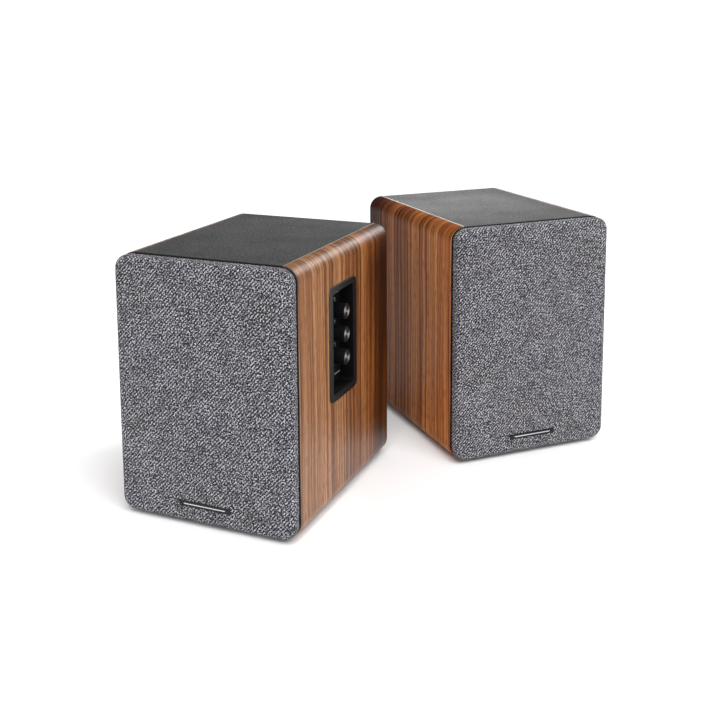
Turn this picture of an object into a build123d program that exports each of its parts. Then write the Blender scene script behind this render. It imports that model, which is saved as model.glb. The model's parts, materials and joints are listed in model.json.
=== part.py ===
from build123d import *
from math import asin, cos, pi, sin
import os

# A pair of two-way desktop speakers: an active one, with its amplifier and controls,
# and a passive one of the same size.  Millimetres, +Z up.
#
# Each speaker is drawn in its own frame.  The front of its cabinet lies on Y = 0 and
# faces -Y, X runs to the right as seen from the front, and Z = 0 is the table.  At the
# end both speakers are stood in the pair's frame: the active speaker keeps its
# directions, the passive one is turned, and the origin is the middle of the pair's
# footprint, on the table.

# ---- driving dimensions -------------------------------------------------------------

# Cabinet
WIDTH = 170.0
HEIGHT = 230.0
DEPTH = 196.0
SIDE = 13.0                     # wooden sides; also the radius of the cabinet's corners
DECK = 12.0                     # top, bottom and rear panels
BAFFLE = 15.0
FOOT = 3.0
EDGE = 0.8                      # softening of the cabinet's outer edges
SEAM = 0.5                      # V-groove between the wood and the dark panels

# Where the passive speaker stands, measured in the active speaker's frame
PASSIVE_X = 209.0
PASSIVE_Y = 259.3
PASSIVE_TURN = 45.3

# Grille
GRILLE_GAP = 2.5
GRILLE_DEPTH = 10.0
GRILLE_INSET = 0.5
GRILLE_ROUND = 5.0
CLOTH = 0.8
PEG_X = 64.0
PEG_R = 2.45
PEG_REACH = 8.0
SOCKET_R = 2.5
BADGE_W = 50.0
BADGE_H = 5.0
BADGE_T = 0.8

# Drivers, all centred on X = 0
WOOFER_Z = FOOT + 74.0
WOOFER_R = 57.5
WOOFER_CUTOUT = 50.0
CONE_R = 36.8
COIL_R = 13.1
TWEETER_Z = FOOT + 180.0
TWEETER_R = 34.0
TWEETER_CUTOUT = 25.0
DOME_R = 12.5
FLANGE = 3.0                    # driver flanges lie in rebates this deep
WOOFER_SCREWS = 53.0            # radius of the screws' circle
TWEETER_SCREWS = 29.5
CONE_LIP = 34.6                 # inner radius of the surround's lip on the cone
SURROUND_R = 45.7               # outer radius of the surround's roll
SURROUND_RIM = 49.5
SURROUND_T = 0.8
SPIDER_R = 35.0                 # outer radius of the spider's waves
SPIDER_RIM = 37.4
SPIDER_Y = 24.3
SPIDER_T = 0.5
MAGNET_R = 40.0

# Control recess in the right side of the active speaker
BEZEL_Y = 88.0
BEZEL_Z = FOOT + 146.4
BEZEL_W = 58.0
BEZEL_H = 103.6
BEZEL_R = 6.5
BEZEL_PROUD = 1.2
BEZEL_WALL = 2.0
RECESS_W = 44.5
RECESS_H = 91.6
RECESS_R = 3.5
RECESS_FLOOR = 73.0             # X of the recess's floor
KNOB_Y = 90.5
KNOB_Z = {"volume": 174.1, "treble": 153.2, "bass": 132.3}
KNOB_R = 6.9
KNOB_FACE = 88.0                # X of the knobs' outer faces
SHAFT_R = 3.0

# Rear
PORT_Z = FOOT + 182.0
PORT_R = 17.0
PORT_LENGTH = 66.0
PLATE_Z = 77.0
PLATE_W = 118.0
PLATE_H = 116.0
PLATE_T = 2.5
JACK_X = -40.0
RCA_Z = (118.0, 100.0)
AUX_Z = 82.0
JACK_MID_Z = 100.0
JACK_FACE_W = 14.0
JACK_FACE_H = 50.0
ACTIVE_CLIPS = (-4.0, 109.0)     # X and Z of the spring clips for speaker wire
PASSIVE_CLIPS = (0.0, 75.0)
CLIP_PITCH = 16.0
CLIP_BODY_W = 38.0
CLIP_BODY_H = 24.0
CLIP_SCREW_X = 23.5
WIRE_R = 1.7
BARREL_R = 4.15                 # outside of the jacks' barrels
RCA_BARREL = 9.0
RCA_R = 1.7
AUX_BARREL = 2.0
AUX_R = 1.8
SWITCH = (40.0, 110.0)
INLET = (40.0, 46.0)
ROCKER_TILT = 7.0
BOARD_T = 1.6

# Screws
SCREW_R = 1.75
SCREW_LENGTH = 12.0
HEAD_R = 3.5
HEAD_H = 2.0

# ---- derived sizes ------------------------------------------------------------------

MID_Z = FOOT + HEIGHT / 2
INNER_W = WIDTH - 2 * SIDE
INNER_H = HEIGHT - 2 * DECK
REAR = DEPTH                    # Y of the cabinet's rear face
PEG_ZS = (FOOT + 24.0, FOOT + 208.0)
GRILLE_FRONT = -GRILLE_GAP - GRILLE_DEPTH
SIDE_FACE = WIDTH / 2


def front_plane(x, z, y=0.0):
    """Plane facing -Y, out of the front, so that a hole in it is drilled inwards."""
    return Plane(origin=(x, y, z), x_dir=(1, 0, 0), z_dir=(0, -1, 0))


def rear_plane(x, z, y=REAR):
    """Plane facing +Y, out of the rear, with its own x running towards -X."""
    return Plane(origin=(x, y, z), x_dir=(-1, 0, 0), z_dir=(0, 1, 0))


def right_plane(y, z, x=SIDE_FACE):
    """Plane facing +X, out of the right side."""
    return Plane(origin=(x, y, z), x_dir=(0, 1, 0), z_dir=(1, 0, 0))


def driver_axis(z):
    return Axis((0, 0, z), (0, 1, 0))


def ring(inner, outer, low, high, mode=Mode.ADD):
    """A rectangle of a turned part's section: radii along x, depth along y."""
    with Locations(((inner + outer) / 2, (low + high) / 2)):
        Rectangle(outer - inner, high - low, mode=mode)


def cap_arc(radius, height, apex):
    """Section of a spherical cap, from its apex on the axis to its rim."""
    sphere = (radius ** 2 + height ** 2) / (2 * height)
    half = asin(radius / sphere) / 2
    return ThreePointArc((0, apex), (sphere * sin(half), apex + sphere * (1 - cos(half))),
                         (radius, apex + height))


# ---- cabinet ------------------------------------------------------------------------

def side_panel(side, window=False):
    """Wooden side.  Its outer edges are the cabinet's round corners."""
    with BuildPart() as panel:
        with BuildSketch(Plane.XZ):
            with Locations((0, MID_Z)):
                RectangleRounded(WIDTH, HEIGHT, SIDE)
            with Locations((side * (WIDTH - SIDE) / 2, MID_Z)):
                Rectangle(SIDE, HEIGHT, mode=Mode.INTERSECT)
        extrude(amount=-DEPTH)
        rims = panel.faces().filter_by(Axis.Y).edges()
        outer_rims = rims.filter_by(lambda edge: abs(edge.center().X) > INNER_W / 2 + 0.1)
        fillet(outer_rims, EDGE)
        if window:
            with BuildSketch(right_plane(BEZEL_Y, BEZEL_Z)):
                RectangleRounded(RECESS_W + 2 * BEZEL_WALL + 0.4, RECESS_H + 2 * BEZEL_WALL + 0.4,
                                 RECESS_R + BEZEL_WALL)
            extrude(amount=-2 * SIDE, mode=Mode.SUBTRACT)
    return panel.part


def deck_panel(level):
    """Top (level 1) or bottom (level -1) panel, flat between the wooden sides."""
    with BuildPart() as panel:
        with BuildSketch(Plane.XZ) as section:
            with Locations((0, MID_Z + level * (HEIGHT - DECK) / 2)):
                Rectangle(INNER_W, DECK)
            outer = section.vertices().group_by(Axis.Y)[-1 if level > 0 else 0]
            chamfer(outer, SEAM)
        extrude(amount=-DEPTH)
        rims = panel.faces().filter_by(Axis.Y).edges().filter_by(Axis.X)
        fillet(rims.group_by(Axis.Z)[-1 if level > 0 else 0], EDGE)
    return panel.part


def front_baffle():
    """Board that carries the two drivers, in rebates, and the grille's sockets."""
    with BuildPart() as board:
        with BuildSketch(front_plane(0, MID_Z)):
            Rectangle(INNER_W, INNER_H)
        extrude(amount=-BAFFLE)
        with Locations(front_plane(0, WOOFER_Z)):
            CounterBoreHole(WOOFER_CUTOUT, WOOFER_R + 0.3, FLANGE)
        with Locations(front_plane(0, TWEETER_Z)):
            CounterBoreHole(TWEETER_CUTOUT, TWEETER_R + 0.3, FLANGE)
        with Locations([front_plane(x, z) for x in (-PEG_X, PEG_X) for z in PEG_ZS]):
            Hole(SOCKET_R + 1.5, depth=11)
        with Locations(front_screw_planes(FLANGE)):
            Hole(SCREW_R + 0.05, depth=11)
    return board.part


def rear_panel(active):
    """Rear board with the port's hole and the cut-out for the amplifier or the clips."""
    with BuildPart() as board:
        with BuildSketch(rear_plane(0, MID_Z)):
            Rectangle(INNER_W, INNER_H)
        extrude(amount=-DECK)
        with Locations(rear_plane(0, PORT_Z)):
            Hole(PORT_R + 2.6)
        if active:
            with BuildSketch(rear_plane(0, PLATE_Z)):
                RectangleRounded(PLATE_W - 16, PLATE_H - 12, 4)
            extrude(amount=-DECK, mode=Mode.SUBTRACT)
            with Locations(plate_screw_planes(REAR)):
                Hole(SCREW_R + 0.05)
        else:
            with BuildSketch(rear_plane(*PASSIVE_CLIPS)):
                Rectangle(CLIP_BODY_W + 0.4, CLIP_BODY_H + 0.4)
            extrude(amount=-DECK, mode=Mode.SUBTRACT)
            with Locations(clip_screw_planes(PASSIVE_CLIPS, REAR)):
                Hole(SCREW_R + 0.05)
    return board.part


def feet():
    """Four turned rubber feet under one cabinet."""
    with BuildPart() as pads:
        with BuildSketch(Plane.XY):
            with Locations((0, DEPTH / 2)):
                with GridLocations(INNER_W - 24, DEPTH - 44, 2, 2):
                    Circle(8)
        extrude(amount=FOOT)
        fillet(pads.faces().sort_by(Axis.Z)[:4].edges(), 1)
    return pads.part


def port_tube():
    """Flared bass port, pushed in from behind."""
    with BuildPart() as tube:
        with BuildSketch(Plane.XY.offset(PORT_Z)) as section:
            ring(PORT_R, PORT_R + 2.5, REAR - PORT_LENGTH, REAR)
            ring(PORT_R, PORT_R + 9, REAR, REAR + 2)
            mouth = section.vertices().sort_by(lambda v: v.X - v.Y)[0]
            fillet(mouth, 8)
        revolve(axis=driver_axis(PORT_Z))
    return tube.part


# ---- screws -------------------------------------------------------------------------

def front_screw_planes(depth=0.0):
    """Screw places around both drivers, on a plane this deep behind the front."""
    reach_woofer = WOOFER_SCREWS / 2 ** 0.5
    reach_tweeter = TWEETER_SCREWS / 2 ** 0.5
    corners = [(x, z) for x in (-1, 1) for z in (-1, 1)]
    woofer = [front_plane(x * reach_woofer, WOOFER_Z + z * reach_woofer, depth) for x, z in corners]
    tweeter = [front_plane(x * reach_tweeter, TWEETER_Z + z * reach_tweeter, depth) for x, z in corners]
    return woofer + tweeter


def plate_screw_planes(y):
    """Screw places at the amplifier plate's four corners."""
    return [rear_plane(x * (PLATE_W / 2 - 5), PLATE_Z + z * (PLATE_H / 2 - 3.5), y)
            for x in (-1, 1) for z in (-1, 1)]


def clip_screw_planes(centre, y):
    """Screw places left and right of a set of spring clips."""
    return [rear_plane(centre[0] + x * CLIP_SCREW_X, centre[1], y) for x in (-1, 1)]


def screws(planes):
    """Pan-head screws with a cross recess, each seated with its head on a plane."""
    with BuildPart() as group:
        for plane in planes:
            with BuildSketch(plane):
                Circle(HEAD_R)
            extrude(amount=HEAD_H, taper=12)
            with BuildSketch(plane):
                Circle(SCREW_R)
            extrude(amount=-SCREW_LENGTH)
            with BuildSketch(plane.offset(HEAD_H - 1)):
                Rectangle(3.6, 0.8)
                Rectangle(0.8, 3.6)
            extrude(amount=1, mode=Mode.SUBTRACT)
    return group.part


# ---- woofer -------------------------------------------------------------------------

def woofer_basket():
    """Pressed frame: flange, tapering wall with six windows, spider ledge, rear ring."""
    with BuildPart() as basket:
        with BuildSketch(Plane.XY.offset(WOOFER_Z)):
            with BuildLine():
                Polyline((45.5, 0), (WOOFER_R, 0), (WOOFER_R, FLANGE), (49, FLANGE), (40, 29.5),
                         (40, 32.5), (15, 32.5), (15, 30.5), (38, 30.5), (38, 28.5), (45.5, 2), close=True)
            make_face()
            ring(SPIDER_R + 0.2, 40.4, SPIDER_Y + SPIDER_T / 2, 26)
        revolve(axis=driver_axis(WOOFER_Z))
        with Locations(Plane(origin=(0, 14.5, WOOFER_Z), x_dir=(1, 0, 0), z_dir=(0, 1, 0))):
            with PolarLocations(44, 6):
                Box(16, 28, 19, mode=Mode.SUBTRACT)
        with Locations(front_screw_planes()[:4]):
            Hole(SCREW_R + 0.35, depth=FLANGE)
    return basket.part


def woofer_surround():
    """Half-roll rubber edge between the cone and the flange."""
    middle = (CONE_R + SURROUND_R) / 2
    roll = (SURROUND_R - CONE_R) / 2
    half = SURROUND_T / 2
    with BuildPart() as edge:
        with BuildSketch(Plane.XY.offset(WOOFER_Z)):
            with Locations((middle, -half)):
                Circle(roll + half)
                Circle(roll - half, mode=Mode.SUBTRACT)
            with Locations((middle, 0.1 + roll)):
                Rectangle(3 * roll, 2 * roll + 1, mode=Mode.SUBTRACT)
            ring(SURROUND_R - 0.1, SURROUND_RIM, -SURROUND_T, 0)
            ring(CONE_LIP, CONE_R + 0.1, -SURROUND_T, 0)
        revolve(axis=driver_axis(WOOFER_Z))
    return edge.part


def woofer_cone():
    """Curved diaphragm with a flat lip under the surround."""
    with BuildPart() as cone:
        with BuildSketch(Plane.XY.offset(WOOFER_Z)):
            with BuildLine():
                Line((CONE_R, 0), (CONE_LIP, 0))
                ThreePointArc((CONE_LIP, 0), (25.5, 10.5), (COIL_R + 0.1, 18.5))
                Line((COIL_R + 0.1, 18.5), (COIL_R + 0.1, 20))
                ThreePointArc((COIL_R + 0.1, 20), (26, 11.6), (35.2, 1))
                Line((35.2, 1), (CONE_R, 1))
                Line((CONE_R, 1), (CONE_R, 0))
            make_face()
        revolve(axis=driver_axis(WOOFER_Z))
    return cone.part


def woofer_dust_cap():
    """Shallow dome over the voice coil's front end."""
    with BuildPart() as cap:
        with BuildSketch(Plane.XY.offset(WOOFER_Z)):
            with BuildLine():
                cap_arc(14.9, 5.7, 11.5)
                Line((14.9, 17.2), (14.1, 17.6))
                cap_arc(14.1, 5.3, 12.3)
                Line((0, 12.3), (0, 11.5))
            make_face()
        revolve(axis=driver_axis(WOOFER_Z))
    return cap.part


def woofer_voice_coil():
    """Thin former with the winding at its rear end."""
    with BuildPart() as coil:
        with BuildSketch(Plane.XY.offset(WOOFER_Z)):
            ring(COIL_R - 0.35, COIL_R, 18.6, 43)
            ring(COIL_R - 0.1, COIL_R + 0.6, 34, 43)
        revolve(axis=driver_axis(WOOFER_Z))
    return coil.part


def woofer_spider():
    """Corrugated cloth disc that centres the voice coil."""
    waves = 7
    steps = 8 * waves
    inner = COIL_R + 0.1
    reach = SPIDER_R - inner
    half = SPIDER_T / 2
    radii = [inner + reach * step / steps for step in range(steps + 1)]
    heights = [SPIDER_Y - 0.9 * sin(2 * pi * waves * step / steps) for step in range(steps + 1)]
    with BuildPart() as disc:
        with BuildSketch(Plane.XY.offset(WOOFER_Z)):
            with BuildLine():
                Spline(*[(r, y - half) for r, y in zip(radii, heights)])
                Line((radii[-1], heights[-1] - half), (radii[-1], heights[-1] + half))
                Spline(*[(r, y + half) for r, y in zip(radii[::-1], heights[::-1])])
                Line((radii[0], heights[0] + half), (radii[0], heights[0] - half))
            make_face()
            ring(SPIDER_R - 0.1, SPIDER_RIM, SPIDER_Y - half, SPIDER_Y + half)
        revolve(axis=driver_axis(WOOFER_Z))
    return disc.part


def woofer_motor():
    """Top plate, ring magnet, and back plate with its pole: three separate solids."""
    sections = [[(COIL_R + 1.2, MAGNET_R - 2, 32.5, 37.5)],
                [(20, MAGNET_R, 37.5, 50)],
                [(0, MAGNET_R - 2, 50, 54.5), (0, COIL_R - 0.7, 32, 50)]]
    pieces = []
    for rings in sections:
        with BuildPart() as piece:
            with BuildSketch(Plane.XY.offset(WOOFER_Z)):
                for sizes in rings:
                    ring(*sizes)
            revolve(axis=driver_axis(WOOFER_Z))
        pieces.append(piece.part)
    return pieces


# ---- tweeter ------------------------------------------------------------------------

def tweeter_faceplate():
    """Flanged plate with a short flare around the dome."""
    with BuildPart() as plate:
        with BuildSketch(Plane.XY.offset(TWEETER_Z)):
            with BuildLine():
                Line((22, 0), (TWEETER_R, 0))
                Line((TWEETER_R, 0), (TWEETER_R, FLANGE))
                Line((TWEETER_R, FLANGE), (24.5, FLANGE))
                Line((24.5, FLANGE), (24.5, 5))
                Line((24.5, 5), (14.2, 5))
                Line((14.2, 5), (14.2, 3.6))
                ThreePointArc((14.2, 3.6), (17, 1.2), (22, 0))
            make_face()
        revolve(axis=driver_axis(TWEETER_Z))
        with Locations(front_screw_planes()[4:]):
            Hole(SCREW_R + 0.35, depth=FLANGE)
    return plate.part


def tweeter_dome():
    """Soft dome on its coil former."""
    with BuildPart() as dome:
        with BuildSketch(Plane.XY.offset(TWEETER_Z)):
            with BuildLine():
                cap_arc(DOME_R, 5.2, -1.2)
                Polyline((DOME_R, 4), (13.8, 4), (13.8, 4.5), (DOME_R, 4.5), (DOME_R, 9.5),
                         (DOME_R - 0.5, 9.5), (DOME_R - 0.5, 4.2))
                cap_arc(DOME_R - 0.5, 4.8, -0.6)
                Line((0, -0.6), (0, -1.2))
            make_face()
        revolve(axis=driver_axis(TWEETER_Z))
    return dome.part


def tweeter_motor():
    """Magnet cup with the gap that the dome's coil runs in."""
    with BuildPart() as cup:
        with BuildSketch(Plane.XY.offset(TWEETER_Z)):
            ring(0, 22, 6.2, 24)
            ring(DOME_R - 1.0, DOME_R + 0.5, 6.2, 15, mode=Mode.SUBTRACT)
        revolve(axis=driver_axis(TWEETER_Z))
    return cup.part


# ---- grille -------------------------------------------------------------------------

def grille_blank(skin):
    """Solid of the grille's outer shape, reduced by a skin on its front and sides."""
    inset = GRILLE_INSET + skin
    with BuildPart() as blank:
        with BuildSketch(front_plane(0, MID_Z, -GRILLE_GAP)):
            RectangleRounded(WIDTH - 2 * inset, HEIGHT - 2 * inset, SIDE - inset)
        extrude(amount=GRILLE_DEPTH - skin)
        fillet(blank.faces().sort_by(Axis.Y)[0].edges(), GRILLE_ROUND - skin)
    return blank.part


def grille_frame():
    """Moulded frame with a window for each driver and four pegs behind."""
    with BuildPart() as frame:
        add(grille_blank(CLOTH))
        with Locations(front_plane(0, WOOFER_Z, GRILLE_FRONT)):
            Hole(WOOFER_R + 2.5)
        with Locations(front_plane(0, TWEETER_Z, GRILLE_FRONT)):
            Hole(TWEETER_R + 2.5)
        for x in (-PEG_X, PEG_X):
            for z in PEG_ZS:
                with BuildSketch(front_plane(x, z, -GRILLE_GAP)):
                    Circle(PEG_R)
                extrude(amount=-PEG_REACH)
    return frame.part


def grille_cloth():
    """Cloth over the front and sides of the frame."""
    with BuildPart() as cloth:
        add(grille_blank(0))
        add(grille_blank(CLOTH), mode=Mode.SUBTRACT)
    return cloth.part


def grille_sockets():
    """Four collared sockets.  Their collars hold the grille off the cabinet."""
    with BuildPart() as group:
        for x in (-PEG_X, PEG_X):
            for z in PEG_ZS:
                with BuildSketch(front_plane(x, z, -GRILLE_GAP)):
                    Circle(5.5)
                extrude(amount=-GRILLE_GAP)
                with BuildSketch(front_plane(x, z)):
                    Circle(SOCKET_R + 1.45)
                extrude(amount=-9)
                with Locations(front_plane(x, z, -GRILLE_GAP)):
                    Hole(SOCKET_R, depth=PEG_REACH + 1.5)
    return group.part


def badge():
    """Blank name bar on the lower edge of the grille."""
    with BuildPart() as bar:
        with BuildSketch(front_plane(0, FOOT + 17.5, GRILLE_FRONT)):
            RectangleRounded(BADGE_W, BADGE_H, 1.0)
        extrude(amount=BADGE_T)
        fillet(bar.faces().sort_by(Axis.Y)[0].edges(), 0.3)
    return bar.part


# ---- controls -----------------------------------------------------------------------

def control_bezel():
    """Tub with a flange, let into the right side, with a hole for each control."""
    with BuildPart() as tub:
        with BuildSketch(right_plane(BEZEL_Y, BEZEL_Z)):
            RectangleRounded(BEZEL_W, BEZEL_H, BEZEL_R)
        extrude(amount=BEZEL_PROUD)
        fillet(tub.faces().sort_by(Axis.X)[-1].edges(), 0.8)
        with BuildSketch(right_plane(BEZEL_Y, BEZEL_Z, RECESS_FLOOR - BEZEL_WALL)):
            RectangleRounded(RECESS_W + 2 * BEZEL_WALL, RECESS_H + 2 * BEZEL_WALL, RECESS_R + BEZEL_WALL)
        extrude(amount=SIDE_FACE - RECESS_FLOOR + BEZEL_WALL)
        with BuildSketch(right_plane(BEZEL_Y, BEZEL_Z, RECESS_FLOOR)):
            RectangleRounded(RECESS_W, RECESS_H, RECESS_R)
        extrude(amount=SIDE_FACE, mode=Mode.SUBTRACT)
        with Locations([right_plane(KNOB_Y, z, RECESS_FLOOR) for z in KNOB_Z.values()]):
            Hole(SHAFT_R + 0.7)
        mouth = tub.edges().filter_by(lambda edge: abs(edge.center().X - SIDE_FACE - BEZEL_PROUD) < 0.01)
        chamfer(mouth, 0.6)
    return tub.part


def knob(z):
    """Fluted knob with a dished face, a pointer notch and a bore for its shaft."""
    flutes = 24
    with BuildPart() as cap:
        with BuildSketch(right_plane(KNOB_Y, z, RECESS_FLOOR + 0.6)):
            Circle(KNOB_R)
            with PolarLocations(KNOB_R + 0.25, flutes):
                Circle(0.5, mode=Mode.SUBTRACT)
        extrude(amount=KNOB_FACE - RECESS_FLOOR - 2.1)
        with BuildSketch(right_plane(KNOB_Y, z, KNOB_FACE - 1.5)):
            Circle(KNOB_R)
        extrude(amount=1.5)
        chamfer(cap.faces().sort_by(Axis.X)[-1].edges(), 0.4)
        with BuildSketch(right_plane(KNOB_Y, z, KNOB_FACE)):
            Circle(KNOB_R - 0.9)
        extrude(amount=-0.5, mode=Mode.SUBTRACT)
        with BuildSketch(right_plane(KNOB_Y, z + KNOB_R, KNOB_FACE)):
            Rectangle(0.9, 3)
        extrude(amount=-1, mode=Mode.SUBTRACT)
        with BuildSketch(right_plane(KNOB_Y, z, RECESS_FLOOR)):
            Circle(SHAFT_R + 0.05)
        extrude(amount=11.6, mode=Mode.SUBTRACT)
    return cap.part


def knob_shaft(z):
    """Potentiometer shaft, with a flat on its outer half."""
    with BuildPart() as shaft:
        with BuildSketch(right_plane(KNOB_Y, z, RECESS_FLOOR - 8)):
            Circle(SHAFT_R)
        extrude(amount=19)
        with BuildSketch(right_plane(KNOB_Y, z - SHAFT_R, RECESS_FLOOR + 3)):
            Rectangle(8, 2.4)
        extrude(amount=10, mode=Mode.SUBTRACT)
    return shaft.part


def control_board():
    """Circuit board with three potentiometers, their bushings in the recess's floor."""
    back = RECESS_FLOOR - BEZEL_WALL
    with BuildPart() as board:
        with BuildSketch(right_plane(BEZEL_Y, BEZEL_Z, back - 11)):
            Rectangle(34, 86)
        extrude(amount=BOARD_T)
        for z in KNOB_Z.values():
            with BuildSketch(right_plane(KNOB_Y, z, back - 9.4)):
                Rectangle(16, 14)
            extrude(amount=8.4)
            with BuildSketch(right_plane(KNOB_Y, z, back - 2)):
                Circle(SHAFT_R + 0.6)
            extrude(amount=3.5)
            with Locations(right_plane(KNOB_Y, z, back + 1.5)):
                Hole(SHAFT_R + 0.06, depth=10.5)
    return board.part


# ---- amplifier ----------------------------------------------------------------------

def amp_plate():
    """Metal plate over the rear cut-out, pierced for the connectors and the switch."""
    with BuildPart() as plate:
        with BuildSketch(rear_plane(0, PLATE_Z)):
            RectangleRounded(PLATE_W, PLATE_H, 5)
        extrude(amount=PLATE_T)
        chamfer(plate.faces().sort_by(Axis.Y)[-1].edges(), 0.6)
        with BuildSketch(rear_plane(*ACTIVE_CLIPS)):
            Rectangle(CLIP_BODY_W + 0.4, CLIP_BODY_H + 0.4)
        extrude(amount=PLATE_T, mode=Mode.SUBTRACT)
        with BuildSketch(rear_plane(*SWITCH)):
            Rectangle(13.4, 19.4)
        extrude(amount=PLATE_T, mode=Mode.SUBTRACT)
        with BuildSketch(rear_plane(*INLET)):
            RectangleRounded(21.4, 12.4, 3)
        extrude(amount=PLATE_T, mode=Mode.SUBTRACT)
        with BuildSketch(rear_plane(JACK_X, JACK_MID_Z)):
            RectangleRounded(JACK_FACE_W + 0.4, JACK_FACE_H + 0.4, 2.2)
        extrude(amount=PLATE_T, mode=Mode.SUBTRACT)
        with Locations(plate_screw_planes(REAR + PLATE_T) + clip_screw_planes(ACTIVE_CLIPS, REAR + PLATE_T)):
            Hole(SCREW_R + 0.35)
    return plate.part


def amp_board():
    """Amplifier board on two posts, with its heatsink and two reservoir capacitors."""
    board_y = REAR - 28
    with BuildPart() as board:
        with BuildSketch(rear_plane(0, PLATE_Z, board_y)):
            Rectangle(94, 98)
        extrude(amount=BOARD_T)
        for x in (-43, 43):
            with BuildSketch(rear_plane(x, 32, board_y)):
                Circle(2.5)
            extrude(amount=28)
        for x in (-26, -4):
            with BuildSketch(rear_plane(x, 48, board_y)):
                Circle(9)
            extrude(amount=-25)
        with BuildSketch(rear_plane(0, 102, board_y)):
            Rectangle(64, 4)
            with GridLocations(9, 0, 7, 1):
                Rectangle(2, 24)
        extrude(amount=-22)
    return board.part


def transformer():
    """Mains transformer on the floor of the cabinet: laminated core and winding."""
    with BuildPart() as core:
        with BuildSketch(Plane.XY.offset(FOOT + DECK)):
            with Locations((-28, 112)):
                Rectangle(50, 22)
        extrude(amount=42)
        with BuildSketch(Plane.XY.offset(FOOT + DECK + 7)):
            with Locations((-28, 112)):
                RectangleRounded(32, 38, 4)
        extrude(amount=28)
    return core.part


def input_jacks():
    """Two phono sockets and a stereo mini jack on one moulded block, its face set in the plate."""
    with BuildPart() as block:
        with BuildSketch(rear_plane(JACK_X, JACK_MID_Z, REAR - 12)):
            Rectangle(JACK_FACE_W + 4, JACK_FACE_H + 4)
        extrude(amount=12)
        with BuildSketch(rear_plane(JACK_X, JACK_MID_Z)):
            RectangleRounded(JACK_FACE_W, JACK_FACE_H, 2)
        extrude(amount=PLATE_T)
        for z in RCA_Z:
            with BuildSketch(rear_plane(JACK_X, z)):
                Circle(BARREL_R)
            extrude(amount=PLATE_T + RCA_BARREL)
            with Locations(rear_plane(JACK_X, z, REAR + PLATE_T + RCA_BARREL)):
                Hole(RCA_R, depth=16)
        with BuildSketch(rear_plane(JACK_X, AUX_Z)):
            Circle(BARREL_R)
        extrude(amount=PLATE_T + AUX_BARREL)
        with Locations(rear_plane(JACK_X, AUX_Z, REAR + PLATE_T + AUX_BARREL)):
            Hole(AUX_R, depth=14)
    return block.part


def mains_inlet():
    """Two-pole mains inlet: flange, body, plug cavity and two pins."""
    with BuildPart() as inlet:
        with BuildSketch(rear_plane(*INLET, REAR + PLATE_T)):
            RectangleRounded(26, 17, 4)
        extrude(amount=2)
        with BuildSketch(rear_plane(*INLET, REAR + PLATE_T)):
            RectangleRounded(21, 12, 3)
        extrude(amount=-20)
        with BuildSketch(rear_plane(*INLET, REAR + PLATE_T + 2)):
            SlotOverall(17, 8.4)
        extrude(amount=-14, mode=Mode.SUBTRACT)
        with BuildSketch(rear_plane(*INLET, REAR + PLATE_T - 13)):
            with GridLocations(8.6, 0, 2, 1):
                Circle(1.2)
        extrude(amount=12)
    return inlet.part


def power_switch():
    """Snap-in housing that the rocker turns in."""
    with BuildPart() as housing:
        with BuildSketch(rear_plane(*SWITCH, REAR + PLATE_T)):
            RectangleRounded(17, 23, 1.5)
        extrude(amount=1.6)
        with BuildSketch(rear_plane(*SWITCH, REAR + PLATE_T)):
            Rectangle(13, 19)
        extrude(amount=-16)
        with BuildSketch(rear_plane(*SWITCH, REAR + PLATE_T + 1.6)):
            Rectangle(10.4, 16.8)
        extrude(amount=-9, mode=Mode.SUBTRACT)
        with Locations(Plane(origin=(SWITCH[0], REAR + PLATE_T, SWITCH[1]), z_dir=(1, 0, 0))):
            Cylinder(1.26, 12.4, mode=Mode.SUBTRACT)
    return housing.part


def power_rocker():
    """Rocker with two sloping faces, resting tilted, on a pin through its middle."""
    pivot_y = REAR + PLATE_T
    with BuildPart() as rocker:
        with BuildSketch(Plane.YZ.offset(SWITCH[0] - 5)):
            with Locations((pivot_y, SWITCH[1])):
                Polygon((3.6, 7.7), (1.9, 0), (3.6, -7.7), (-3, -5.5), (-3, 5.5), align=None)
        extrude(amount=10)
        with BuildSketch(Plane.YZ.offset(SWITCH[0] - 6)):
            with Locations((pivot_y, SWITCH[1])):
                Circle(1.2)
        extrude(amount=12)
    return rocker.part.rotate(Axis((SWITCH[0], pivot_y, SWITCH[1]), (1, 0, 0)), ROCKER_TILT)


# ---- spring clips -------------------------------------------------------------------

def spring_clips(centre, surface):
    """Housing for two spring clips, each with a slot for its lever and a wire hole."""
    x, z = centre
    with BuildPart() as housing:
        with BuildSketch(rear_plane(x, z, surface)):
            RectangleRounded(56, 30, 3)
        extrude(amount=2)
        with BuildSketch(rear_plane(x, z, surface)):
            Rectangle(CLIP_BODY_W, CLIP_BODY_H)
        extrude(amount=-16)
        with BuildSketch(rear_plane(x, z + 2.5, surface + 2)):
            with GridLocations(CLIP_PITCH, 0, 2, 1):
                Rectangle(12.6, 16)
        extrude(amount=-10, mode=Mode.SUBTRACT)
        with Locations([rear_plane(x + side * CLIP_PITCH / 2, z - 9, surface + 2) for side in (-1, 1)]):
            Hole(WIRE_R, depth=12)
        with Locations(Plane(origin=(x, surface - 1, z + 8), z_dir=(1, 0, 0))):
            Cylinder(1.3, 2 * CLIP_PITCH, mode=Mode.SUBTRACT)
        with Locations(clip_screw_planes(centre, surface + 2)):
            Hole(SCREW_R + 0.35)
    return housing.part


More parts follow.
